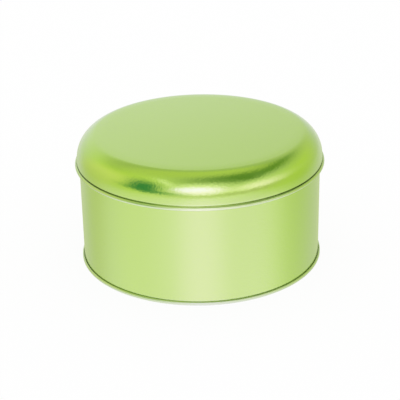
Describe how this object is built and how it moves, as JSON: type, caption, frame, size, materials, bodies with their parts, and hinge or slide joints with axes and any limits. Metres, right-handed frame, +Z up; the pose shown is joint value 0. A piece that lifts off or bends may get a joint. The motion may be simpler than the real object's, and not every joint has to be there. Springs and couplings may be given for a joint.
{
  "type": "round tin can with a slip lid",
  "caption": "Low round tin can with straight wall, domed slip-on lid and rolled rim, shut; stands on its seamed base.",
  "frame": {"origin": "on the table, under the middle of the tin", "axes": "+Z up along the tin's axis; the wall's lock seam is at the back, on +Y"},
  "size_m": [0.1802, 0.1802, 0.0959],
  "materials": {
    "lid_lacquer": "clear green lacquer over bright tinplate, satin gloss",
    "wall_lacquer": "clear green lacquer over bright tinplate, satin gloss",
    "end_lacquer": "clear green lacquer over bright tinplate, thin on the folded rim"
  },
  "bodies": {
    "root": {"lid": "lid_lacquer", "body": "wall_lacquer", "base": "end_lacquer"}
  },
  "joints": []
}
